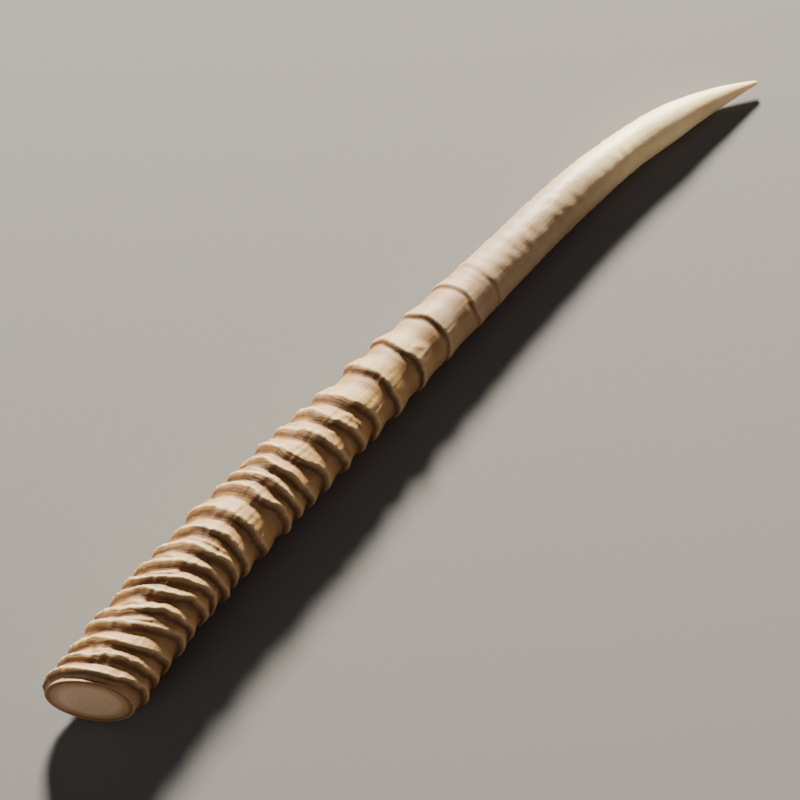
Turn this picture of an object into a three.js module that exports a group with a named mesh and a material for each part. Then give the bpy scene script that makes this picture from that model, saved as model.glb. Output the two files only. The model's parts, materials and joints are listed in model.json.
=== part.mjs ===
// A gemsbok horn: one solid, sawn off flat where it grew, lying on its side.
// Millimetres, Z up. +X runs from the sawn end to the tip, and +Y is the outer side of its bend.
import * as THREE from "three";

// Centreline, in the plane of the bend. x runs from the middle of the sawn face.
const LENGTH = 867;
const STRAIGHT_BASE = 43;
const BASE_BEND_END = 293;
const BASE_BEND_DROP = 11.5;
const TIP_BEND_START = 588;
const TIP_BEND_DROP = 47.5;
const TIP_BEND_POWER = 2.7;

// Radius at the bottom of the grooves, as [x, radius]
const CORE = [
  [0, 33.8], [60, 31], [130, 29.2], [210, 28.4], [290, 27.3], [350, 26.2], [410, 25.9],
  [460, 25], [510, 23.8], [600, 22], [660, 20.8], [715, 18.7], [770, 16.7],
  [800, 13.3], [827, 9.4], [847, 5.8], [863, 2.4],
];
const TIP_ROUND = 4;
const OVAL = 0.012;

// Rings: where each crest crosses the centreline, from the sawn end up
const RINGS = [
  12, 29, 46, 67, 83, 103, 118, 135, 154, 172, 196, 226,
  242, 258, 278, 303, 326, 349, 384, 419, 458, 499, 528,
];
// Ring height over the groove, as [x, height]
const RING_HEIGHT = [
  [0, 5.6], [60, 6.3], [250, 5.9], [345, 5.1], [385, 3.8], [420, 3.1], [460, 2.1], [500, 1.6], [528, 0.7],
];
// Tilt of a ring in degrees, its inner-bend side nearer the tip, as [x, tilt]
const RING_TILT = [[0, 23], [118, 26], [173, 15], [333, 15], [393, 1], [528, 6]];
const RING_BASE_SIDE = 9;
const RING_TIP_SIDE = 15;
const RING_SHARPNESS = 1.5;
const INNER_SIDE_LOSS = 0.3;

// Unevenness of a crest around the horn, as [waves around, size, phase, phase added per ring]
const CREST_WAVES = [[2, 1.6, 0.6, 0.5], [3, 1.1, 0, 2.3], [5, 0.7, 1, 4.1]];
const HEIGHT_WAVES = [[2, 0.14, 2.1, 1.7], [3, 0.1, 3.15, 2.9]];

// Mesh
const SIDES = 36;
const TIP_ROWS = 18;

// How it lies: turned about its length, then tipped, so that it rests on three points
const REST_ROLL = 8.75;
const REST_PITCH = 1.92;

const clamp = (value) => Math.min(1, Math.max(0, value));

// Smooth curve through [x, value] points, flat beyond the two ends
function along(points, x) {
  const last = points.length - 1;
  const i = Math.min(last - 1, Math.max(0, points.findIndex((point) => point[0] > x) - 1));
  const segment = x >= points[last][0] ? last - 1 : i;
  const slope = (k) => {
    const before = points[Math.max(0, k - 1)];
    const after = points[Math.min(last, k + 1)];
    return (after[1] - before[1]) / (after[0] - before[0]);
  };
  const [x0, value0] = points[segment];
  const [x1, value1] = points[segment + 1];
  const width = x1 - x0;
  const t = clamp((x - x0) / width);
  const rise = t * t * (3 - 2 * t);
  return value0 + (value1 - value0) * rise
    + width * t * (1 - t) * ((1 - t) * slope(segment) - t * slope(segment + 1));
}

const waves = (list, ring, angle) =>
  list.reduce((sum, [count, size, phase, step]) => sum + size * Math.sin(count * angle + phase + step * ring), 0);

// Sideways offset of the centreline, and its slope
function bend(x) {
  const span = BASE_BEND_END - STRAIGHT_BASE;
  const left = 1 - clamp((x - STRAIGHT_BASE) / span);
  const straight = Math.min(0, x - STRAIGHT_BASE) * 3 * BASE_BEND_DROP / span;
  const tip = Math.max(0, (x - TIP_BEND_START) / (LENGTH - TIP_BEND_START));
  return straight - BASE_BEND_DROP * left ** 3 - TIP_BEND_DROP * tip ** TIP_BEND_POWER;
}

const bendSlope = (x) => (bend(x + 0.5) - bend(x - 0.5));

function coreRadius(x) {
  const left = clamp((LENGTH - x) / TIP_ROUND);
  return along(CORE, x) * Math.sqrt(1 - (1 - left) ** 2);
}

// Where the crest of a ring lies at an angle round the horn: 0 is the outer side of the bend
function crestAt(ring, angle) {
  const x = RINGS[ring];
  const reach = coreRadius(x) + along(RING_HEIGHT, x);
  const tilt = Math.tan(THREE.MathUtils.degToRad(along(RING_TILT, x)));
  return x - reach * tilt * Math.cos(angle) + waves(CREST_WAVES, ring, angle);
}

function crestHeight(ring, angle) {
  const inner = 1 - INNER_SIDE_LOSS * (1 - Math.cos(angle)) / 2;
  return along(RING_HEIGHT, RINGS[ring]) * inner * (1 + waves(HEIGHT_WAVES, ring, angle));
}

// Height left at a share of the way down from a crest to the groove
const ridge = (share) => (1 - clamp(share)) ** RING_SHARPNESS;

function surfacePoint(x, angle, radius) {
  const slope = bendSlope(x);
  const out = radius * Math.cos(angle) * (1 + OVAL);
  const scale = 1 / Math.hypot(1, slope);
  return new THREE.Vector3(x - out * slope * scale, bend(x) + out * scale, radius * Math.sin(angle) * (1 - OVAL));
}

// One row of the skin for each share of a gap between two crests
function gapRows(ring) {
  const row = (place) => (angle) => {
    const lower = crestAt(ring, angle);
    const gap = crestAt(ring + 1, angle) - lower;
    const baseSide = Math.min(RING_BASE_SIDE, gap / 2);
    const tipSide = Math.min(RING_TIP_SIDE, gap - baseSide);
    const step = place(gap, tipSide, baseSide);
    const height = crestHeight(ring, angle) * ridge(step / tipSide)
      + crestHeight(ring + 1, angle) * ridge((gap - step) / baseSide);
    const x = lower + step;
    return surfacePoint(x, angle, coreRadius(x) + height);
  };
  return [
    row(() => 0),
    row((gap, tipSide) => 0.25 * tipSide),
    row((gap, tipSide) => 0.65 * tipSide),
    row((gap, tipSide, baseSide) => gap - baseSide),
    row((gap, tipSide, baseSide) => gap - 0.4 * baseSide),
  ];
}

// From the sawn face up to the foot of the first ring
function baseRows() {
  const tilt = Math.tan(THREE.MathUtils.degToRad(along(RING_TILT, 0)));
  const radius = along(CORE, 0);
  const cut = (angle) => -radius * tilt * Math.cos(angle);
  const row = (share) => (angle) => {
    const x = THREE.MathUtils.lerp(cut(angle), crestAt(0, angle), share);
    const height = crestHeight(0, angle) * ridge(1.6 * (1 - share));
    return surfacePoint(x, angle, THREE.MathUtils.lerp(radius, coreRadius(x), share) + height);
  };
  return [row(0), row(0.4), row(0.75)];
}

// From the last crest to the tip, each row straighter across than the one before
function tipRows() {
  const last = RINGS.length - 1;
  const end = LENGTH - TIP_ROUND;
  const rows = [];
  for (let i = 0; i < TIP_ROWS; i += 1) {
    const share = i / (TIP_ROWS - 1);
    rows.push((angle) => {
      const start = crestAt(last, angle);
      const x = THREE.MathUtils.lerp(start, end, share);
      const height = crestHeight(last, angle) * ridge((x - start) / RING_TIP_SIDE);
      return surfacePoint(x, angle, coreRadius(x) + height);
    });
  }
  rows.push((angle) => surfacePoint(LENGTH - TIP_ROUND / 4, angle, coreRadius(LENGTH - TIP_ROUND / 4)));
  return rows;
}

function hornGeometry() {
  const rows = baseRows();
  for (let ring = 0; ring < RINGS.length - 1; ring += 1) {
    rows.push(...gapRows(ring));
  }
  rows.push(...tipRows());

  const points = [];
  for (const row of rows) {
    for (let side = 0; side < SIDES; side += 1) {
      points.push(row(2 * Math.PI * side / SIDES));
    }
  }
  const sawnMiddle = points.length;
  points.push(new THREE.Vector3(0, bend(0), 0));
  const tip = points.length;
  points.push(new THREE.Vector3(LENGTH, bend(LENGTH), 0));

  const faces = [];
  for (let side = 0; side < SIDES; side += 1) {
    const next = (side + 1) % SIDES;
    faces.push(sawnMiddle, next, side);
    for (let row = 0; row < rows.length - 1; row += 1) {
      const near = row * SIDES;
      const far = near + SIDES;
      faces.push(near + side, near + next, far + next, near + side, far + next, far + side);
    }
    const lastRow = (rows.length - 1) * SIDES;
    faces.push(lastRow + side, lastRow + next, tip);
  }

  const geometry = new THREE.BufferGeometry().setFromPoints(points);
  geometry.setIndex(faces);
  geometry.computeVertexNormals();
  return geometry;
}

// Turned so that the line from sawn end to tip runs along X, laid as it rests, and centred over the origin
function layDown(geometry) {
  geometry.rotateZ(-Math.atan2(bend(LENGTH) - bend(0), LENGTH));
  geometry.rotateX(THREE.MathUtils.degToRad(REST_ROLL));
  geometry.rotateY(THREE.MathUtils.degToRad(REST_PITCH));
  geometry.computeBoundingBox();
  const { min, max } = geometry.boundingBox;
  geometry.translate(-(min.x + max.x) / 2, -(min.y + max.y) / 2, -min.z);
  return geometry;
}

const keratin = new THREE.MeshStandardMaterial({ color: 0xdccbb2, roughness: 0.6, metalness: 0 });
const horn = new THREE.Mesh(layDown(hornGeometry()), keratin);
horn.name = "horn";

const group = new THREE.Group();
group.add(horn);

export default group;
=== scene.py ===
import json
import math
from collections import namedtuple

import bpy
from mathutils import Matrix, Vector


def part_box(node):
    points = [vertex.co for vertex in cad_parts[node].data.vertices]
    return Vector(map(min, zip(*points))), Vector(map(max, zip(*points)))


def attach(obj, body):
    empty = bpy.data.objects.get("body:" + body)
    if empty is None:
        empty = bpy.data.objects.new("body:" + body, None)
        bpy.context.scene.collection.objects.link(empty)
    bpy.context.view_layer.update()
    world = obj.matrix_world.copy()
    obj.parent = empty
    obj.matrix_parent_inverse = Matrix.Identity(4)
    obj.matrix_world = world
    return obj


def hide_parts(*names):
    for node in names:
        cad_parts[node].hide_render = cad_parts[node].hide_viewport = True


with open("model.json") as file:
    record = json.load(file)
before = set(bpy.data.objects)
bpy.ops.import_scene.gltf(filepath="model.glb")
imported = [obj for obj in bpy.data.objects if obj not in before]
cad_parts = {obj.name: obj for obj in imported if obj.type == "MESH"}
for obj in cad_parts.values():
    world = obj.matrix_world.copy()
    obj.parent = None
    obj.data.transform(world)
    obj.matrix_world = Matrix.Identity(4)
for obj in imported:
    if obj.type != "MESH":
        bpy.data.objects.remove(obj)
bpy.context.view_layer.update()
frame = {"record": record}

MM = 0.001

# Centreline, as in the solid
LENGTH = 867
STRAIGHT_BASE = 43
BASE_BEND_END = 293
BASE_BEND_DROP = 11.5
TIP_BEND_START = 588
TIP_BEND_DROP = 47.5
TIP_BEND_POWER = 2.7

# A size that changes along the horn: a curve through (x, value) points, on a graph up to its top
Profile = namedtuple("Profile", "top points")

# Radius of the sawn face, and from there on of the bottom of the grooves
SAWN_RADIUS = 33.8
CORE = Profile(40, (
    (0, SAWN_RADIUS), (60, 31), (130, 29.2), (210, 28.4), (290, 27.3), (350, 26.2), (410, 25.9),
    (460, 25), (510, 23.8), (600, 22), (660, 20.8), (715, 18.7), (770, 16.7),
    (800, 13.3), (827, 9.4), (847, 5.8), (863, 2.4),
))
TIP_ROUND = 4
OVAL = 0.012

# Rings: where each crest crosses the centreline, from the sawn end up
RINGS = (
    12, 29, 46, 67, 83, 103, 118, 135, 154, 172, 196, 226,
    242, 258, 278, 303, 326, 349, 384, 419, 458, 499, 528,
)
# Height of a ring over the groove, and the height that counts as a full one
RING_HEIGHT = Profile(10, (
    (0, 5.6), (60, 6.3), (250, 5.9), (345, 5.1), (385, 3.8),
    (420, 3.1), (460, 2.1), (500, 1.6), (528, 0.7),
))
FULL_RING = 6
INNER_SIDE_LOSS = 0.3
# Tilt of a ring in degrees, its inner-bend side nearer the tip
RING_TILT = Profile(30, ((0, 23), (118, 26), (173, 15), (333, 15), (393, 1), (528, 6)))
# Width of a ring's slope towards the tip and of its lip towards the sawn end, and the most of
# the gap below it that the lip may fill
RING_TIP_SIDE = 17
RING_LIP = Profile(12, ((0, 11.5), (330, 11.5), (400, 6.5), (528, 5)))
LIP_SHARE = 0.54
# Radius of a crest
CREST_ROUNDING = Profile(3, ((0, 1.5), (110, 1.1), (330, 0.9), (400, 0.6), (528, 0.5)))
# Radius of a groove: a share of the rings' height up to a limit, and a share of that at its foot
GROOVE_PER_HEIGHT = 0.35
GROOVE_ROUNDING = 1.6
GROOVE_FOOT_SHARE = 0.6
# Rings lower than this have shallower grooves cut beside them
LOW_RING = 2.5

# Unevenness of a crest round the horn, as (waves around, size, phase, phase added per ring)
CREST_WAVES = ((2, 1.6, 0.6, 0.5), (3, 1.1, 0, 2.3), (5, 0.7, 1, 4.1))
HEIGHT_WAVES = ((2, 0.14, 2.1, 1.7), (3, 0.1, 3.15, 2.9))
# Kinks, taken off their own middle so that they go both ways, and finer raggedness
CREST_KINK = 3.2
KINK_MIDDLE = 0.35
CREST_JITTER = 0.9
CREST_RAGGED = 0.2
# How far the unevenness moves on from one ring to the next, and how much of it there is
RING_DRIFT = 0.35
UNEVEN_SHARE = Profile(1, ((0, 1), (340, 1), (400, 0.5), (528, 0.4)))

# Short folds between rings. Their place is a share of the gap, and wanders round the horn, but
# keeps a little room below the lip. They show where the gap is wide enough.
FOLD_PLACE = 0.36
FOLD_WANDER = 0.4
FOLD_ROOM = 0.06
FOLD_DRIFT = 0.8
FOLD_LEAST_GAP = 11
FOLD_FULL_GAP = 19
FOLD_TIP_SIDE = 6
FOLD_BASE_SIDE = 4
FOLD_ROUNDING = 0.8

# Smooth stretches between the upper rings flare out like stacked cups: how much, how far past a
# crest the flare starts, and the width of its rim
CUP_SHARE = Profile(1, ((0, 0), (335, 0), (384, 1), (500, 0.8), (545, 0)))
CUP_START = 9
CUP_RIM = 3.5
# Where the smooth upper length is faintly waved across
WAVED_SHARE = Profile(1, (
    (0, 0), (500, 0.1), (560, 1), (640, 0.9), (680, 0.35), (710, 0.8), (760, 0.2), (863, 0),
))

# Patterns of the fine relief: how fast each changes along the horn or away from a crest, from
# one ring to the next, and round the horn
FLUTE_ALONG = 0.12
LINE_ABOVE = 0.55
LINE_DRIFT = 9
LINE_ROUND = 1.4
WAVE_ALONG = 0.15
WAVE_ROUND = 1.1
# How far down a ring's slope the flutes run, and what is left of them and of growth lines elsewhere
FLUTE_REACH = 14
FLUTES_ELSEWHERE = 0.2
LINES_ELSEWHERE = 0.3

# Relief grows in from nothing over this share of the way from the sawn face to the first ring,
# and over this length from the tip
RIM_SHARE = 0.25
TIP_FADE = 40

# Mesh and relief of the skin, as the inputs of its node tree
HORN_COUNTS = {"Sides": 160, "Rows per gap": 20, "Tip rows": 130, "Sawn face circles": 12}
HORN_SIZES = {
    "Lumps": 0.45, "Growth lines": 0.3, "Flutes": 0.5, "Folds": 2.2, "Groove cut": 1.4,
    "Cup flare": 1.3, "Tip waves": 1.0, "Seed": 7.0,
}
HORN_INPUTS = HORN_COUNTS | HORN_SIZES
# How much closer rows are at the crests, and towards the tip
CREST_CROWDING = 0.45
TIP_CROWDING = 1.25
# Points this close are welded into one, which closes the end of the tip
WELD = 0.004

# How it lies: turned about its length, then tipped
REST_ROLL = 8.75
REST_PITCH = 1.92

# The photograph's point of view, and how far its lens is drawn in on the horn
VIEW_AZIMUTH = -49.1
VIEW_ELEVATION = 55.7
VIEW_DISTANCE = 3.98
LENS = 212
# Where it aims, to the right of and above the middle of the horn, in metres
AIM_RIGHT = -0.016
AIM_UP = -0.03

# A warm key from beyond the tip's outer side, as in the photograph, a weak fill from beyond the
# sawn end, and a low orange one from the inner side, as (name, place, power, size, colour)
LIGHTS = (
    ("key", (3.4, 3.42, 2.6), 1850, 0.9, (1.0, 0.9, 0.76)),
    ("fill", (-4.6, -0.4, 1.8), 42, 2.4, (1.0, 0.93, 0.86)),
    ("rim", (4.2, -2.64, 0.6), 45, 1.0, (1.0, 0.5, 0.22)),
)
SKY_COLOUR = (0.8, 0.86, 1.0)
SKY_STRENGTH = 0.085
FLOOR_COLOUR = (0.165, 0.168, 0.165)
FLOOR_REACH = 14.0


# Node maths

# Smooth noise is spread this much wider than Blender gives it
NOISE_SPREAD = 2.6
# A Mix node's numbers for its two inputs and its output, by the kind of value that it mixes
MIX_SOCKETS = {"VECTOR": (4, 5, 1), "RGBA": (6, 7, 2)}


class Field:
    """One number per point in a node tree, so that a formula can be written as a formula."""

    def __init__(self, tree, socket):
        self.tree = tree
        self.socket = socket

    def math(self, operation, *others):
        node = self.tree.nodes.new("ShaderNodeMath")
        node.operation = operation
        self.tree.links.new(self.socket, node.inputs[0])
        for place, other in enumerate(others, start=1):
            plug(self.tree, other, node.inputs[place])
        return Field(self.tree, node.outputs[0])

    def __add__(self, other):
        return self.math("ADD", other)

    __radd__ = __add__

    def __sub__(self, other):
        return self.math("SUBTRACT", other)

    def __rsub__(self, other):
        return self * -1 + other

    def __mul__(self, other):
        return self.math("MULTIPLY", other)

    __rmul__ = __mul__

    def __truediv__(self, other):
        return self.math("DIVIDE", other)

    def __pow__(self, other):
        return self.math("POWER", other)

    def __abs__(self):
        return self.math("ABSOLUTE")

    def at_least(self, other):
        return self.math("MAXIMUM", other)

    def at_most(self, other):
        return self.math("MINIMUM", other)

    def clamped(self):
        return self.at_least(0).at_most(1)

    def eased(self):
        """From 0 to 1 as the number goes from 0 to 1, level at both ends."""
        share = self.clamped()
        return share * share * (3 - share * 2)

    def above(self, other):
        return self.math("GREATER_THAN", other)

    def floor(self):
        return self.math("FLOOR")

    def root(self):
        return self.math("SQRT")

    def sine(self):
        return self.math("SINE")

    def cosine(self):
        return self.math("COSINE")


def plug(tree, value, socket):
    """Sets a socket to a constant, or links a field or another socket to it."""
    if isinstance(value, Field):
        value = value.socket
    if isinstance(value, bpy.types.NodeSocket):
        tree.links.new(value, socket)
    else:
        socket.default_value = value


def mix(low, high, share):
    return low + (high - low) * share


def rise(number, start, over):
    """From 0 at the start to 1 that much further on, level at both ends."""
    return ((number - start) / over).eased()


def peak(distance, width):
    """1 where the distance is nothing, down to 0 at the width on both sides."""
    return (1 - abs(distance) / width).clamped()


def vector(tree, x, y, z):
    node = tree.nodes.new("ShaderNodeCombineXYZ")
    for value, socket in zip((x, y, z), node.inputs):
        plug(tree, value, socket)
    return node.outputs[0]


def split(tree, source):
    node = tree.nodes.new("ShaderNodeSeparateXYZ")
    tree.links.new(source, node.inputs[0])
    return [Field(tree, socket) for socket in node.outputs]


def mix_node(tree, kind, share, low, high):
    """Mixes two vectors or two colours by a share."""
    node = tree.nodes.new("ShaderNodeMix")
    node.data_type = kind
    low_input, high_input, output = MIX_SOCKETS[kind]
    plug(tree, share, node.inputs["Factor"])
    plug(tree, low, node.inputs[low_input])
    plug(tree, high, node.inputs[high_input])
    return node.outputs[output]


def noise(tree, place, scale, detail=2.0, roughness=0.5):
    """Smooth noise about zero, roughly from -1 to 1."""
    node = tree.nodes.new("ShaderNodeTexNoise")
    tree.links.new(place, node.inputs["Vector"])
    node.inputs["Scale"].default_value = scale
    node.inputs["Detail"].default_value = detail
    node.inputs["Roughness"].default_value = roughness
    return (Field(tree, node.outputs[0]) - 0.5) * NOISE_SPREAD


def curve_along(x, profile):
    """A profile's value at x. Its curve is drawn as shares of the horn's length and of the top."""
    node = x.tree.nodes.new("ShaderNodeFloatCurve")
    curve = node.mapping.curves[0]
    shares = [(place / LENGTH, value / profile.top) for place, value in profile.points]
    for place, value in shares[1:-1]:
        curve.points.new(place, value)
    curve.points[0].location = shares[0]
    curve.points[-1].location = shares[-1]
    node.mapping.extend = "HORIZONTAL"
    node.mapping.update()
    plug(x.tree, x / LENGTH, node.inputs["Value"])
    return Field(x.tree, node.outputs[0]) * profile.top


def add_input(tree, name, value, whole=False):
    kind = "NodeSocketInt" if whole else "NodeSocketFloat"
    tree.interface.new_socket(name, in_out="INPUT", socket_type=kind).default_value = value


# The horn's shape

def bend(x):
    """Sideways offset of the centreline, for a number or a field."""
    span = BASE_BEND_END - STRAIGHT_BASE
    slope = 3 * BASE_BEND_DROP / span
    if isinstance(x, Field):
        straight = (x - STRAIGHT_BASE).at_most(0)
        left = (1 - (x - STRAIGHT_BASE) / span).clamped()
        tip = ((x - TIP_BEND_START) / (LENGTH - TIP_BEND_START)).at_least(0)
    else:
        straight = min(0, x - STRAIGHT_BASE)
        left = min(1, max(0, 1 - (x - STRAIGHT_BASE) / span))
        tip = max(0, (x - TIP_BEND_START) / (LENGTH - TIP_BEND_START))
    return straight * slope - left ** 3 * BASE_BEND_DROP - tip ** TIP_BEND_POWER * TIP_BEND_DROP


def core_radius(x):
    left = ((LENGTH - x) / TIP_ROUND).clamped()
    rounding = (1 - (1 - left) ** 2).at_least(0).root()
    return curve_along(x, CORE) * rounding


def waves(shapes, ring, angle):
    total = 0
    for count, size, phase, step in shapes:
        total = (angle * count + phase + ring * step).sine() * size + total
    return total


def centre_place(tree, ring):
    """Where a ring's crest crosses the centreline, by the ring's number from -1 up."""
    places = (0, *RINGS, LENGTH)
    switch = tree.nodes.new("GeometryNodeIndexSwitch")
    switch.data_type = "FLOAT"
    while len(switch.index_switch_items) < len(places):
        switch.index_switch_items.new()
    for place, socket in zip(places, switch.inputs[1:]):
        socket.default_value = place
    plug(tree, ring + 1, switch.inputs["Index"])
    return Field(tree, switch.outputs[0])


def crest_group():
    """Where a ring's crest lies at an angle round the horn, and how high it stands.

    Ring -1 is the sawn face and the one after the last ring is the tip, which have no height.
    """
    tree = bpy.data.node_groups.new("Ring crest", "GeometryNodeTree")
    for name in ("Ring", "Angle", "Seed"):
        add_input(tree, name, 0, whole=(name == "Ring"))
    for name in ("Place", "Height"):
        tree.interface.new_socket(name, in_out="OUTPUT", socket_type="NodeSocketFloat")
    inputs = tree.nodes.new("NodeGroupInput").outputs
    outputs = tree.nodes.new("NodeGroupOutput").inputs
    ring, angle, seed = (Field(tree, inputs[name]) for name in ("Ring", "Angle", "Seed"))
    x = centre_place(tree, ring)

    # Neighbouring rings take like shapes, because the noise moves on only a little between them
    around = vector(tree, angle.cosine(), angle.sine(), ring * RING_DRIFT + seed)
    kinks = abs(noise(tree, around, scale=1.8, detail=1)) - KINK_MIDDLE
    jitter = noise(tree, around, scale=5, detail=3)
    ragged = noise(tree, around, scale=8, detail=3)

    is_ring = ring.above(-0.5) * (1 - ring.above(len(RINGS) - 0.5))
    inner = 1 - (1 - angle.cosine()) * (INNER_SIDE_LOSS / 2)
    standing = curve_along(x, RING_HEIGHT) * is_ring
    height = standing * inner * (1 + waves(HEIGHT_WAVES, ring, angle) + ragged * CREST_RAGGED)
    tilt = (curve_along(x, RING_TILT) * math.radians(1)).math("TANGENT")
    ragged_line = (kinks * CREST_KINK + jitter * CREST_JITTER) * curve_along(x, UNEVEN_SHARE)
    uneven = waves(CREST_WAVES, ring, angle) + ragged_line
    place = x - (core_radius(x) + standing) * tilt * angle.cosine() + uneven * is_ring
    plug(tree, place, outputs["Place"])
    plug(tree, height, outputs["Height"])
    return tree


def ring_at(tree, group, number, angle, seed):
    node = tree.nodes.new("GeometryNodeGroup")
    node.node_tree = group
    for name, value in (("Ring", number), ("Angle", angle), ("Seed", seed)):
        plug(tree, value, node.inputs[name])
    return Field(tree, node.outputs["Place"]), Field(tree, node.outputs["Height"])


def flank(offset, width, rounding):
    """Share of a crest's height left at a distance down its side, less than nothing past its foot."""
    return 1 - ((offset * offset + rounding * rounding).root() - rounding) / width


def higher(one, other, rounding):
    """The higher of two surfaces, with a rounded hollow where they meet."""
    apart = one - other
    return (one + other + (apart * apart + rounding * rounding).root()) * 0.5


def rows_up_the_skin(row, per_gap, tip_rows):
    """Which gap between two rings a row lies in, and how far across it, crowded at the crests."""
    gaps = len(RINGS)
    # A hair more, so that a row on a crest is the first of the gap above it
    hair = 0.0005
    number = (row / per_gap + hair).floor().at_most(gaps)
    even = (row / per_gap - number).clamped()
    crowded = even - (even * math.tau).sine() * (CREST_CROWDING / math.tau)
    towards_tip = 1 - (1 - (row - per_gap * gaps) / tip_rows).clamped() ** TIP_CROWDING
    return number, mix(crowded, towards_tip, number.above(gaps - 0.5))


def ring_relief(size, marks):
    """Height of the rings and what grows between them, over the bottom of the grooves."""
    x, relief = marks["x"], marks["relief"]
    above, below, gap = marks["above"], marks["below"], marks["gap"]
    lip = curve_along(x, RING_LIP).at_most(gap * LIP_SHARE)
    tip_side = (gap - lip).at_most(RING_TIP_SIDE)
    rounding = curve_along(x, CREST_ROUNDING)
    slope = marks["lower height"] * flank(above, tip_side, rounding)
    steep = marks["upper height"] * flank(below, lip, rounding)
    groove = (relief * GROOVE_PER_HEIGHT).at_most(GROOVE_ROUNDING)
    rings = higher(higher(slope, steep, groove), 0, groove * GROOVE_FOOT_SHARE)
    cut = (relief / LOW_RING).clamped() * size("Groove cut")

    # Short folds that leave one ring and run out before they reach the next
    past = marks["past fold"]
    fold_up = flank(past.at_least(0), FOLD_TIP_SIDE, FOLD_ROUNDING).at_least(0)
    fold_down = flank(past.at_most(0), FOLD_BASE_SIDE, FOLD_ROUNDING).at_least(0)
    folds = (fold_up * fold_down).eased() * marks["fold share"] * size("Folds")

    # Smooth stretches flare out towards the tip, like cups standing in each other
    flare_end = 1 - ((lip + CUP_RIM - below) / CUP_RIM).eased()
    flared = ((above - CUP_START) / (gap - CUP_START - lip).at_least(1)).clamped() ** 2 * flare_end
    cups = flared * curve_along(x, CUP_SHARE) * size("Cup flare")
    return rings + folds + cups - cut * (1 - (rings / LOW_RING).eased())


def fold_between(tree, size, marks):
    """Distance past the crest of a fold that wanders across the gap, and how much of it there is."""
    angle, gap = marks["angle"], marks["gap"]
    turn = marks["number"] * FOLD_DRIFT + size("Seed")
    around = vector(tree, angle.cosine(), angle.sine(), turn)
    wander = noise(tree, around, scale=0.8, detail=2) * FOLD_WANDER
    place = gap * (FOLD_PLACE + wander).at_most(1 - LIP_SHARE - FOLD_ROOM)
    wide = ((gap - FOLD_LEAST_GAP) / (FOLD_FULL_GAP - FOLD_LEAST_GAP)).clamped()
    come_and_go = (noise(tree, around, scale=1.1, detail=1) * 3 - 0.1).eased()
    share = come_and_go * wide * (marks["relief"] / FULL_RING).clamped()
    return marks["above"] - place, share


def fine_relief(tree, size, marks, radius):
    """Lumps, flutes down the rings' slopes, growth lines along them, and faint waves at the tip."""
    x, above = marks["x"], marks["above"]
    cosine, sine = marks["angle"].cosine(), marks["angle"].sine()
    tall = marks["relief"] / FULL_RING
    # The seed moves the lumps' pattern along by more than the width of a lump
    around = vector(tree, x + size("Seed") * 31, cosine * radius, sine * radius)
    lumps = noise(tree, around, scale=0.035, detail=3) * size("Lumps")

    down_slope = vector(tree, x * FLUTE_ALONG, cosine * radius, sine * radius)
    on_slope = tall.clamped() * (1 - above / FLUTE_REACH).clamped() + FLUTES_ELSEWHERE
    flutes = noise(tree, down_slope, scale=0.25, detail=2) * size("Flutes") * on_slope

    from_crest = above * LINE_ABOVE + marks["number"] * LINE_DRIFT
    along_rings = vector(tree, from_crest, cosine * LINE_ROUND, sine * LINE_ROUND)
    lines = noise(tree, along_rings, scale=0.9, detail=2) * size("Growth lines")

    across = vector(tree, x * WAVE_ALONG, cosine * WAVE_ROUND, sine * WAVE_ROUND)
    waved = noise(tree, across, scale=1, detail=1) * curve_along(x, WAVED_SHARE)
    return lumps + flutes + lines * (LINES_ELSEWHERE + tall) + waved * size("Tip waves")


def store(tree, geometry, name, kind, value):
    node = tree.nodes.new("GeometryNodeStoreNamedAttribute")
    node.data_type = kind
    node.domain = "POINT"
    node.inputs["Name"].default_value = name
    tree.links.new(geometry, node.inputs["Geometry"])
    plug(tree, value, node.inputs["Value"])
    return node.outputs["Geometry"]


def on_sawn_face(tree, surface, from_axis, near_tip):
    """Draws the sawn end's inner points in towards the middle of its face, and leaves the rest."""
    face = tree.nodes.new("ShaderNodeVectorMath")
    face.operation = "MULTIPLY_ADD"
    middle = vector(tree, 0, (1 - from_axis) * bend(0), 0)
    sources = (surface, vector(tree, from_axis, from_axis, from_axis), middle)
    for source, socket in zip(sources, face.inputs):
        tree.links.new(source, socket)
    return mix_node(tree, "VECTOR", near_tip, face.outputs[0], surface)


def finished(tree, geometry, cut, skin, sawn):
    """The tip welded shut, the skin shaded smooth and the sawn face flat, each with its material."""
    weld = tree.nodes.new("GeometryNodeMergeByDistance")
    weld.inputs["Distance"].default_value = WELD
    tree.links.new(geometry, weld.inputs["Geometry"])
    smooth = tree.nodes.new("GeometryNodeSetShadeSmooth")
    tree.links.new(weld.outputs[0], smooth.inputs["Geometry"])
    plug(tree, 1 - cut, smooth.inputs["Shade Smooth"])
    realized = tree.nodes.new("GeometryNodeRealizeInstances")
    tree.links.new(smooth.outputs[0], realized.inputs["Geometry"])
    result = realized.outputs[0]
    for material, selection in ((skin, None), (sawn, cut)):
        finish = tree.nodes.new("GeometryNodeSetMaterial")
        tree.links.new(result, finish.inputs["Geometry"])
        finish.inputs["Material"].default_value = material
        if selection:
            plug(tree, selection, finish.inputs["Selection"])
        result = finish.outputs[0]
    return result


def unit_tube(tree, sides, rows, face_circles):
    """A closed tube of radius one and length one, to be drawn out into the horn."""
    tube = tree.nodes.new("GeometryNodeMeshCylinder")
    tube.fill_type = "TRIANGLE_FAN"
    for name, value in (
        ("Vertices", sides), ("Side Segments", rows), ("Fill Segments", face_circles),
        ("Radius", 1.0), ("Depth", 1.0),
    ):
        plug(tree, value, tube.inputs[name])
    return tube


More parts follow.
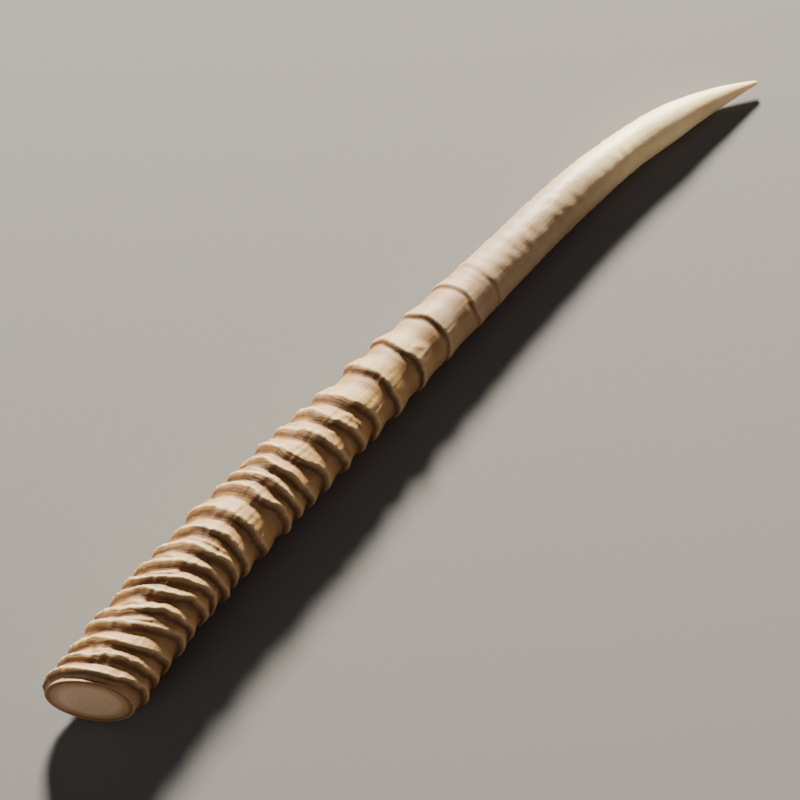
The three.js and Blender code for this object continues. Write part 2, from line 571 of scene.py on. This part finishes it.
def gap_marks(tree, size, number, share, angle):
    """What is known of a point between two crests: how far it is from each, and how high they are."""
    group = crest_group()
    lower, lower_height = ring_at(tree, group, number - 1, angle, size("Seed"))
    upper, upper_height = ring_at(tree, group, number, angle, size("Seed"))
    gap = upper - lower
    above = gap * share
    marks = {
        "x": lower + above, "angle": angle, "number": number, "gap": gap,
        "above": above, "below": gap - above, "relief": mix(lower_height, upper_height, share),
        "lower height": lower_height, "upper height": upper_height,
    }
    marks["past fold"], marks["fold share"] = fold_between(tree, size, marks)
    return marks


def skin_point(tree, x, angle, radius):
    """A point of the skin, square out from the bent centreline."""
    slope = bend(x + 0.5) - bend(x - 0.5)
    scale = (1 + slope * slope) ** -0.5
    out = radius * angle.cosine() * (1 + OVAL)
    up = radius * angle.sine() * (1 - OVAL)
    return vector(tree, x - out * slope * scale, bend(x) + out * scale, up)


def note_for_finish(tree, geometry, marks, share, reach):
    """Stores a point's marks, and its place on the horn as if that were straight."""
    x, angle = marks["x"], marks["angle"]
    # A point on a crest is below no other, or the colours of the lip would jump there
    off_crest = share.above(0.001)
    notes = marks | {"below": marks["below"] * off_crest}
    for name in ("above", "below", "relief", "past fold", "fold share"):
        geometry = store(tree, geometry, name.replace(" ", "_"), "FLOAT", notes[name])
    straight = vector(tree, x, angle.cosine() * reach, angle.sine() * reach)
    return store(tree, geometry, "straight", "FLOAT_VECTOR", straight)


def horn_tree(skin, sawn):
    """The tube drawn out along the centreline, with its rows laid along the rings' crests."""
    tree = bpy.data.node_groups.new("Horn", "GeometryNodeTree")
    tree.interface.new_socket("Geometry", in_out="OUTPUT", socket_type="NodeSocketGeometry")
    for name, value in HORN_INPUTS.items():
        add_input(tree, name, value, whole=(name in HORN_COUNTS))
    inputs = tree.nodes.new("NodeGroupInput").outputs
    outputs = tree.nodes.new("NodeGroupOutput")

    def size(name):
        return Field(tree, inputs[name])

    per_gap, tip_rows = size("Rows per gap"), size("Tip rows")
    rows = per_gap * len(RINGS) + tip_rows
    tube = unit_tube(tree, size("Sides"), rows, size("Sawn face circles"))

    # The tube's own points say how far round, how far up and how far out from the axis each is
    position = tree.nodes.new("GeometryNodeInputPosition").outputs[0]
    tube_x, tube_y, tube_z = split(tree, position)
    angle = tube_y.math("ARCTAN2", tube_x)
    from_axis = (tube_x * tube_x + tube_y * tube_y).root().clamped()
    number, share = rows_up_the_skin((tube_z + 0.5) * rows, per_gap, tip_rows)
    marks = gap_marks(tree, size, number, share, angle)
    x = marks["x"]

    # The rim of the sawn face is a true flat oval, so everything grows in from nothing there
    settled = mix(1, share, 1 - number.above(0.5))
    grown = (settled / RIM_SHARE).clamped()
    radius = mix(SAWN_RADIUS, core_radius(x), settled)
    fade = grown * ((LENGTH - x) / TIP_FADE).clamped()
    detail = fine_relief(tree, size, marks, radius) * fade
    skin_radius = radius + ring_relief(size, marks) * grown + detail
    surface = skin_point(tree, x, angle, skin_radius)
    noted = note_for_finish(tree, tube.outputs["Mesh"], marks, share, skin_radius * from_axis)

    shape = tree.nodes.new("GeometryNodeSetPosition")
    tree.links.new(noted, shape.inputs["Geometry"])
    placed = on_sawn_face(tree, surface, from_axis, near_tip=tube_z.above(0))
    tree.links.new(placed, shape.inputs["Position"])
    result = finished(tree, shape.outputs[0], Field(tree, tube.outputs["Bottom"]), skin, sawn)
    tree.links.new(result, outputs.inputs["Geometry"])
    return tree


def lay_down(mesh):
    """Turns the horn so that it lies as the solid does, with its sawn face on the record's mount."""
    chord = math.atan2(bend(LENGTH) - bend(0), LENGTH)
    turn = (
        Matrix.Rotation(math.radians(REST_PITCH), 4, "Y")
        @ Matrix.Rotation(math.radians(REST_ROLL), 4, "X")
        @ Matrix.Rotation(-chord, 4, "Z")
    )
    middle = turn @ Vector((0, bend(0), 0)) * MM
    mount = Vector(frame["record"]["mounts"][0]["pos_m"])
    mesh.transform(Matrix.Translation(mount - middle) @ Matrix.Scale(MM, 4) @ turn)


def make_horn(skin, sawn):
    maker = bpy.data.objects.new("horn_maker", bpy.data.meshes.new("horn_maker"))
    bpy.context.scene.collection.objects.link(maker)
    nodes = maker.modifiers.new("Horn", "NODES")
    nodes.node_group = horn_tree(skin, sawn)
    for socket in nodes.node_group.interface.items_tree:
        if socket.name in HORN_INPUTS:
            nodes[socket.identifier] = HORN_INPUTS[socket.name]
    depsgraph = bpy.context.evaluated_depsgraph_get()
    mesh = bpy.data.meshes.new_from_object(maker.evaluated_get(depsgraph))
    bpy.data.objects.remove(maker)
    mesh.name = "gemsbok_horn"
    lay_down(mesh)
    piece = bpy.data.objects.new("gemsbok_horn", mesh)
    bpy.context.scene.collection.objects.link(piece)
    return piece


# Finishes

CREST_PALE = (0.59, 0.445, 0.25)
SLOPE_CREAM = (0.48, 0.32, 0.092)
# Tan of the groove floors: partly the horn's own colour and partly painted shade
GROOVE_TAN_AND_SHADE = (0.33, 0.185, 0.072)
BASE_PINK = (0.38, 0.225, 0.108)
UPPER_BEIGE = (0.41, 0.30, 0.182)
TIP_CREAM = (1.0, 0.86, 0.5)
# Browns of the lips: partly the horn's own stain and partly painted shade in the grooves. The near
# black is painted shade along the groove and also colours streaks
LIP_GOLD = (0.36, 0.18, 0.053)
LIP_BROWN_AND_SHADE = (0.16, 0.071, 0.021)
LIP_DARK_SHADE_AND_STREAKS = (0.045, 0.02, 0.008)
FIBRE_BROWN = (0.29, 0.178, 0.085)
SAWN_PALE = (0.80, 0.54, 0.34)
SAWN_AMBER = (0.50, 0.26, 0.11)
SAWN_DARK = (0.16, 0.075, 0.03)

# Colours as (share, colour): along the horn, down a lip from its crest, and out across the cut
ALONG_THE_HORN = (
    (0.0, BASE_PINK), (0.1, SLOPE_CREAM), (0.42, SLOPE_CREAM), (0.56, UPPER_BEIGE),
    (0.72, UPPER_BEIGE), (0.86, TIP_CREAM),
)
# Down the lip the brown deepens and then lightens towards the groove floor: partly stain and partly
# painted shade in the groove
DOWN_THE_LIP = (
    (0.0, CREST_PALE), (0.24, LIP_GOLD), (0.42, LIP_BROWN_AND_SHADE), (0.6, LIP_BROWN_AND_SHADE),
    (0.8, LIP_GOLD), (1.0, GROOVE_TAN_AND_SHADE),
)
ACROSS_THE_CUT = (
    (0.0, SAWN_PALE), (0.6, SAWN_PALE), (0.82, SAWN_AMBER), (0.93, SAWN_DARK), (1.0, SAWN_AMBER),
)

# Width of the brown under a crest, which is partly stain and partly painted shade in the groove, the
# most of a gap that it fills, the share of its width from which it fades, and over what length it does
STAIN_AND_SHADE_WIDTH = Profile(12, ((0, 12), (110, 12), (330, 12), (400, 8), (528, 6)))
STAIN_AND_SHADE_SHARE = 0.7
STAIN_AND_SHADE_FADES_FROM = 0.8
STAIN_AND_SHADE_FADE = 5
# Where in its width the dark line of painted shade runs, and the line's half width
SHADE_LINE_PLACE = 0.52
SHADE_LINE_WIDTH = 1.9
# Rings lower than this take their colours more weakly
FAINT_RING = 2.2
# Half widths of the pale wear on a crest, above and below it, and of the brown at a fold's foot, which
# is partly painted shade
WORN_ABOVE = 3.2
WORN_BELOW = 2.4
FOLD_FOOT = 2.6
# How strongly these colours lie over the skin's own
STAIN_AND_SHADE_STRENGTH = 0.93
FOLD_FOOT_STRENGTH = 0.75
WORN_STRENGTH = 0.85
# Where along the horn growth lines give way to a smoother, glossier skin, and over what length
POLISH_START = 520
POLISH_LENGTH = 160
# Light soaks a little way into it, in metres, and red the furthest
SOAK_DEPTH = 0.006
SOAK_COLOURS = (1.0, 0.6, 0.3)
# Depth of the finest relief, in metres
SKIN_BUMP = 0.0003
SAWN_BUMP = 0.0004


def attribute(tree, name, output="Fac"):
    node = tree.nodes.new("ShaderNodeAttribute")
    node.attribute_name = name
    return node.outputs[output]


def opaque(colour):
    return (*colour, 1)


def colour_mix(tree, share, low, high):
    """Goes from one colour to another by a share. Each is three numbers or a socket."""
    low, high = (opaque(end) if isinstance(end, tuple) else end for end in (low, high))
    return mix_node(tree, "RGBA", share, low, high)


def colour_ramp(tree, share, stops):
    node = tree.nodes.new("ShaderNodeValToRGB")
    ramp = node.color_ramp
    ramp.interpolation = "EASE"
    while len(ramp.elements) < len(stops):
        ramp.elements.new(0.5)
    for element, (place, colour) in zip(ramp.elements, stops):
        element.position = place
        element.color = opaque(colour)
    plug(tree, share, node.inputs["Fac"])
    return node.outputs["Color"]


def patchy(pattern, contrast=1.0, level=0.0, amount=1.0):
    """How much of a colour to mix in: more where the pattern is high, up to the amount."""
    return (pattern * contrast + level).clamped() * amount


def drawn_out(tree, place, along):
    """The same place with x shrunk, so that a pattern read there is drawn out along the horn."""
    x, y, z = split(tree, place)
    return vector(tree, x * along, y, z)


def new_material(name):
    material = bpy.data.materials.new(name)
    material.use_nodes = True
    return material, material.node_tree, material.node_tree.nodes["Principled BSDF"]


def add_bump(tree, shader, height, distance, strength):
    node = tree.nodes.new("ShaderNodeBump")
    node.inputs["Strength"].default_value = strength
    node.inputs["Distance"].default_value = distance
    plug(tree, height, node.inputs["Height"])
    tree.links.new(node.outputs[0], shader.inputs["Normal"])


def skin_colour(tree, place, along, fibres):
    """Pinkish at the sawn end, cream over the rings, beige above them and creamy yellow at the tip."""
    patches = noise(tree, drawn_out(tree, place, along=0.5), scale=0.05, detail=4)
    streaks = noise(tree, drawn_out(tree, place, along=0.12), scale=0.2, detail=4, roughness=0.6)
    # Streaks and fibres fade towards the tip
    kept = 1 - rise(along, start=0.62, over=0.2) * 0.6
    colour = colour_ramp(tree, along, ALONG_THE_HORN)
    share = patchy(patches, contrast=0.7, level=0.2, amount=0.5)
    colour = colour_mix(tree, share, colour, UPPER_BEIGE)
    share = patchy(streaks, contrast=1.3, amount=0.6) * kept
    colour = colour_mix(tree, share, colour, FIBRE_BROWN)
    share = patchy(fibres, contrast=0.8, level=0.05, amount=0.45) * kept
    return colour_mix(tree, share, colour, FIBRE_BROWN)


def lip_colour(tree, place, below, width, wander, patches):
    """From pale at the crest through gold and brown to tan, with a dark line and streaks in it. The
    brown is partly painted shade and the dark line is painted shade in the groove.
    """
    x, y, z = split(tree, place)
    # The streaks run round the horn: they change quickly down the lip and slowly along it
    slow = 0.05
    round_it = vector(tree, below * 1.1, y * slow + x * 0.03, z * slow)
    streaks = noise(tree, round_it, scale=1, detail=3)
    # The dark line is painted shade in the groove, broken up by patches
    line = peak(below + wander * 0.9 - width * SHADE_LINE_PLACE, SHADE_LINE_WIDTH).eased()
    line = line * patchy(patches, contrast=0.9, level=0.6)
    colour = colour_ramp(tree, (below + wander * 0.8) / width, DOWN_THE_LIP)
    share = patchy(patches, contrast=0.8, level=0.1, amount=0.7)
    colour = colour_mix(tree, share, colour, LIP_BROWN_AND_SHADE)
    share = line.at_least(patchy(streaks, level=-0.15, amount=0.9))
    return colour_mix(tree, share, colour, LIP_DARK_SHADE_AND_STREAKS)


def ring_colour(tree, colour, place, x, marks):
    """Tan floors between the rings and browned lips, both partly painted shade in the grooves, brown
    at the folds' feet, also partly painted shade, and pale worn crests.
    """
    above, below = marks["above"], marks["below"]
    ringed = (marks["relief"] / FAINT_RING).clamped()
    wander = noise(tree, place, scale=0.14, detail=4, roughness=0.6)
    patches = noise(tree, place, scale=0.045, detail=3)
    width = curve_along(x, STAIN_AND_SHADE_WIDTH).at_most((above + below) * STAIN_AND_SHADE_SHARE)

    # Tan away from the lower crest, towards the groove under the next ring: partly painted shade
    floor = rise(above + wander * 2.5, start=2, over=6) * (1 - rise(below, start=18, over=10))
    share = (floor * ringed * (0.75 + patches * 0.5)).clamped()
    colour = colour_mix(tree, share, colour, GROOVE_TAN_AND_SHADE)

    lip = lip_colour(tree, place, below, width, wander, patches)
    # The brown band under each crest: partly stain and partly painted shade in the groove
    stain_and_shade = 1 - rise(below + wander * 1.3, start=width * STAIN_AND_SHADE_FADES_FROM, over=STAIN_AND_SHADE_FADE)
    colour = colour_mix(tree, stain_and_shade * ringed * STAIN_AND_SHADE_STRENGTH, colour, lip)

    # Brown at a fold's foot: partly painted shade under the fold
    fold_foot_shade = peak(marks["past_fold"] + FOLD_FOOT, FOLD_FOOT).eased() * marks["fold_share"]
    colour = colour_mix(tree, fold_foot_shade * FOLD_FOOT_STRENGTH, colour, LIP_BROWN_AND_SHADE)

    crest = peak(above, WORN_ABOVE).at_least(peak(below, WORN_BELOW)).eased()
    return colour_mix(tree, crest * ringed * WORN_STRENGTH, colour, CREST_PALE)


def skin_material():
    """Dry horn: cream rings with brown grooves, the brown partly painted shade, a pale upper length,
    fibres and growth lines.
    """
    material, tree, shader = new_material("weathered_horn_and_painted_shade")
    place = attribute(tree, "straight", "Vector")
    names = ("above", "below", "relief", "past_fold", "fold_share")
    marks = {name: Field(tree, attribute(tree, name)) for name in names}
    x, y, z = split(tree, place)
    polish = rise(x, start=POLISH_START, over=POLISH_LENGTH)

    # Growth lines run round the horn: they change quickly away from a crest and slowly round it
    slow = 0.04
    from_crest = vector(tree, marks["above"] + y * 0.05, y * slow, z * slow)
    lines = noise(tree, from_crest, scale=0.9, detail=3) * (1 - polish * 0.85)
    fibres = noise(tree, drawn_out(tree, place, along=0.035), scale=0.9, detail=4, roughness=0.6)
    grit = noise(tree, place, scale=1.1, detail=4, roughness=0.65)
    specks = noise(tree, place, scale=0.55, detail=2)

    colour = skin_colour(tree, place, x / LENGTH, fibres)
    share = patchy(lines, contrast=0.5, level=-0.05, amount=0.4)
    colour = colour_mix(tree, share, colour, FIBRE_BROWN)
    colour = ring_colour(tree, colour, place, x, marks)
    share = patchy(specks, contrast=3, level=-1.9, amount=0.35)
    colour = colour_mix(tree, share, colour, FIBRE_BROWN)
    tree.links.new(colour, shader.inputs["Base Color"])

    plug(tree, 0.55 - polish * 0.15 + grit * 0.06 + fibres * 0.05, shader.inputs["Roughness"])
    plug(tree, polish * 0.3, shader.inputs["Subsurface Weight"])
    shader.inputs["Subsurface Radius"].default_value = SOAK_COLOURS
    shader.inputs["Subsurface Scale"].default_value = SOAK_DEPTH
    height = fibres * 0.45 + lines * 0.5 + grit * 0.3
    add_bump(tree, shader, height, SKIN_BUMP, strength=0.8)
    return material


def sawn_material():
    """The cut face: a dark rind, growth circles inside it, pores and the strokes of the saw."""
    material, tree, shader = new_material("sawn_horn")
    place = attribute(tree, "straight", "Vector")
    _, y, z = split(tree, place)
    warp = noise(tree, place, scale=0.04, detail=3)
    out = (y * y + z * z).root() + warp * 1.2
    circles = noise(tree, vector(tree, out + warp * 3, 0, 0), scale=0.55, detail=3)
    fine_circles = ((out + warp * 3) * 2.4).sine()
    pores = noise(tree, place, scale=0.8, detail=5, roughness=0.7)
    # The saw's strokes are long, slightly tilted and slightly curved
    stroke = z + y * 0.25 + y * y * 0.004
    strokes = noise(tree, vector(tree, 0, y * 0.03, stroke), scale=0.8, detail=3)

    colour = colour_ramp(tree, out / SAWN_RADIUS, ACROSS_THE_CUT)
    share = patchy(circles, contrast=0.8, level=0.2, amount=0.5)
    colour = colour_mix(tree, share, colour, SAWN_AMBER)
    colour = colour_mix(tree, patchy(fine_circles, amount=0.07), colour, SAWN_DARK)
    colour = colour_mix(tree, patchy(pores, level=-0.3, amount=0.7), colour, SAWN_DARK)
    colour = colour_mix(tree, patchy(strokes, level=-0.05, amount=0.6), colour, CREST_PALE)
    tree.links.new(colour, shader.inputs["Base Color"])
    shader.inputs["Roughness"].default_value = 0.62
    height = strokes * 0.9 + circles * 0.3 + pores * 0.3
    add_bump(tree, shader, height, SAWN_BUMP, strength=0.9)
    return material


# Floor, lights and camera

def floor_material():
    material, _, shader = new_material("pale_floor")
    shader.inputs["Base Color"].default_value = opaque(FLOOR_COLOUR)
    shader.inputs["Roughness"].default_value = 0.9
    return material


def make_floor():
    corners = [(x * FLOOR_REACH, y * FLOOR_REACH, 0) for x, y in ((-1, -1), (1, -1), (1, 1), (-1, 1))]
    mesh = bpy.data.meshes.new("floor")
    mesh.from_pydata(corners, [], [(0, 1, 2, 3)])
    mesh.materials.append(floor_material())
    floor = bpy.data.objects.new("floor", mesh)
    bpy.context.scene.collection.objects.link(floor)


def make_light(name, place, power, size, colour, target):
    data = bpy.data.lights.new(name, "AREA")
    data.energy = power
    data.size = size
    data.color = colour
    light = bpy.data.objects.new(name, data)
    light.location = place
    light.rotation_euler = (Vector(target) - Vector(place)).to_track_quat("-Z", "Y").to_euler()
    bpy.context.scene.collection.objects.link(light)


def make_sky():
    world = bpy.data.worlds.new("studio")
    world.use_nodes = True
    sky = world.node_tree.nodes["Background"].inputs
    sky["Color"].default_value = opaque(SKY_COLOUR)
    sky["Strength"].default_value = SKY_STRENGTH
    bpy.context.scene.world = world


def make_camera(target):
    azimuth, elevation = math.radians(VIEW_AZIMUTH), math.radians(VIEW_ELEVATION)
    level = math.cos(elevation)
    back = Vector((math.sin(azimuth) * level, -math.cos(azimuth) * level, math.sin(elevation)))
    turn = back.to_track_quat("Z", "Y")
    aim = Vector(target) + turn @ Vector((AIM_RIGHT, AIM_UP, 0))
    data = bpy.data.cameras.new("camera")
    data.lens = LENS
    data.clip_end = 100
    camera = bpy.data.objects.new("camera", data)
    camera.location = aim + back * VIEW_DISTANCE
    camera.rotation_euler = turn.to_euler()
    bpy.context.scene.collection.objects.link(camera)
    bpy.context.scene.camera = camera


low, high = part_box("horn")
centre = (Vector(low) + Vector(high)) / 2
horn = make_horn(skin_material(), sawn_material())
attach(horn, "root")
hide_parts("horn")
make_floor()
for light in LIGHTS:
    make_light(*light, centre)
make_sky()
make_camera(centre)
